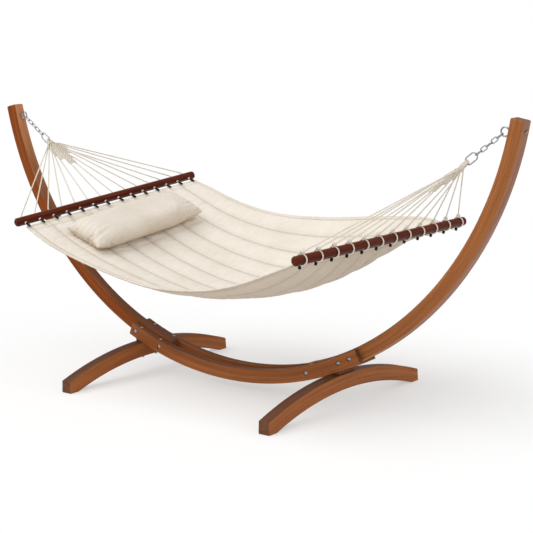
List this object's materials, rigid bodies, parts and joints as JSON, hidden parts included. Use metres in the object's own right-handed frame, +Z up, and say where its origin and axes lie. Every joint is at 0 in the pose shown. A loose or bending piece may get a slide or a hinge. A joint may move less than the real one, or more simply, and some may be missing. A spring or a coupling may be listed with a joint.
{
  "type": "hammock on stand",
  "caption": "Quilted fabric hammock with two wooden spreader bars and a long pillow, hung by fanned cords and short chains from an arched timber stand on two curved cross feet.",
  "frame": {"origin": "on the floor, at the middle of the stand's box", "axes": "+X along the length, with the pillow at the -X end; +Y across the bed; +Z up"},
  "size_m": [3.3294, 1.366, 1.4119],
  "materials": {
    "stand_timber": "stained and oiled, satin",
    "bar_timber": "dark mahogany stain, satin varnish",
    "dowel_wood": "plain",
    "zinc_steel": "zinc plated",
    "cord": "braided polyester cord",
    "toggle_plastic": "matte black-brown",
    "bed_fabric": "cream plain weave, quilted",
    "wadding": "soft white fibre",
    "pillow_fabric": "cream plain weave"
  },
  "bodies": {
    "stand": {"left_arm": "stand_timber", "right_arm": "stand_timber", "near_beam": "stand_timber", "far_beam": "stand_timber", "left_foot": "stand_timber", "right_foot": "stand_timber", "left_wedge": "stand_timber", "right_wedge": "stand_timber", "left_side_bolts": "zinc_steel", "left_side_washers": "zinc_steel", "left_side_nuts": "zinc_steel", "left_foot_bolts": "zinc_steel", "left_foot_washers": "zinc_steel", "left_foot_nuts": "zinc_steel", "left_top_screws": "zinc_steel", "left_eye_bolt": "zinc_steel", "left_eye_washer": "zinc_steel", "left_eye_nut": "zinc_steel", "right_side_bolts": "zinc_steel", "right_side_washers": "zinc_steel", "right_side_nuts": "zinc_steel", "right_foot_bolts": "zinc_steel", "right_foot_washers": "zinc_steel", "right_foot_nuts": "zinc_steel", "right_top_screws": "zinc_steel", "right_eye_bolt": "zinc_steel", "right_eye_washer": "zinc_steel", "right_eye_nut": "zinc_steel"},
    "hammock": {"left_chain": "zinc_steel", "right_chain": "zinc_steel", "left_ring": "zinc_steel", "right_ring": "zinc_steel", "left_cords": "cord", "right_cords": "cord", "left_clew": "cord", "right_clew": "cord", "left_spreader_bar": "bar_timber", "right_spreader_bar": "bar_timber", "left_toggles": "toggle_plastic", "right_toggles": "toggle_plastic", "bed_upper_fabric": "bed_fabric", "bed_lower_fabric": "bed_fabric", "near_edge_binding": "bed_fabric", "far_edge_binding": "bed_fabric", "left_hem": "bed_fabric", "right_hem": "bed_fabric", "bed_wadding": "wadding", "left_hem_dowel": "dowel_wood", "right_hem_dowel": "dowel_wood"},
    "pillow": {"pillow_cover": "pillow_fabric", "pillow_filling": "wadding"}
  },
  "joints": [
    {"name": "hammock_swing", "type": "hinge", "parent": "stand", "child": "hammock", "pos_m": [0, 0, 1.3382], "axis": [1, 0, 0], "range_deg": [-20, 20]},
    {"name": "pillow_lift", "type": "slide", "parent": "hammock", "child": "pillow", "axis": [0, 0, 1], "range_m": [0, 0.3]}
  ]
}
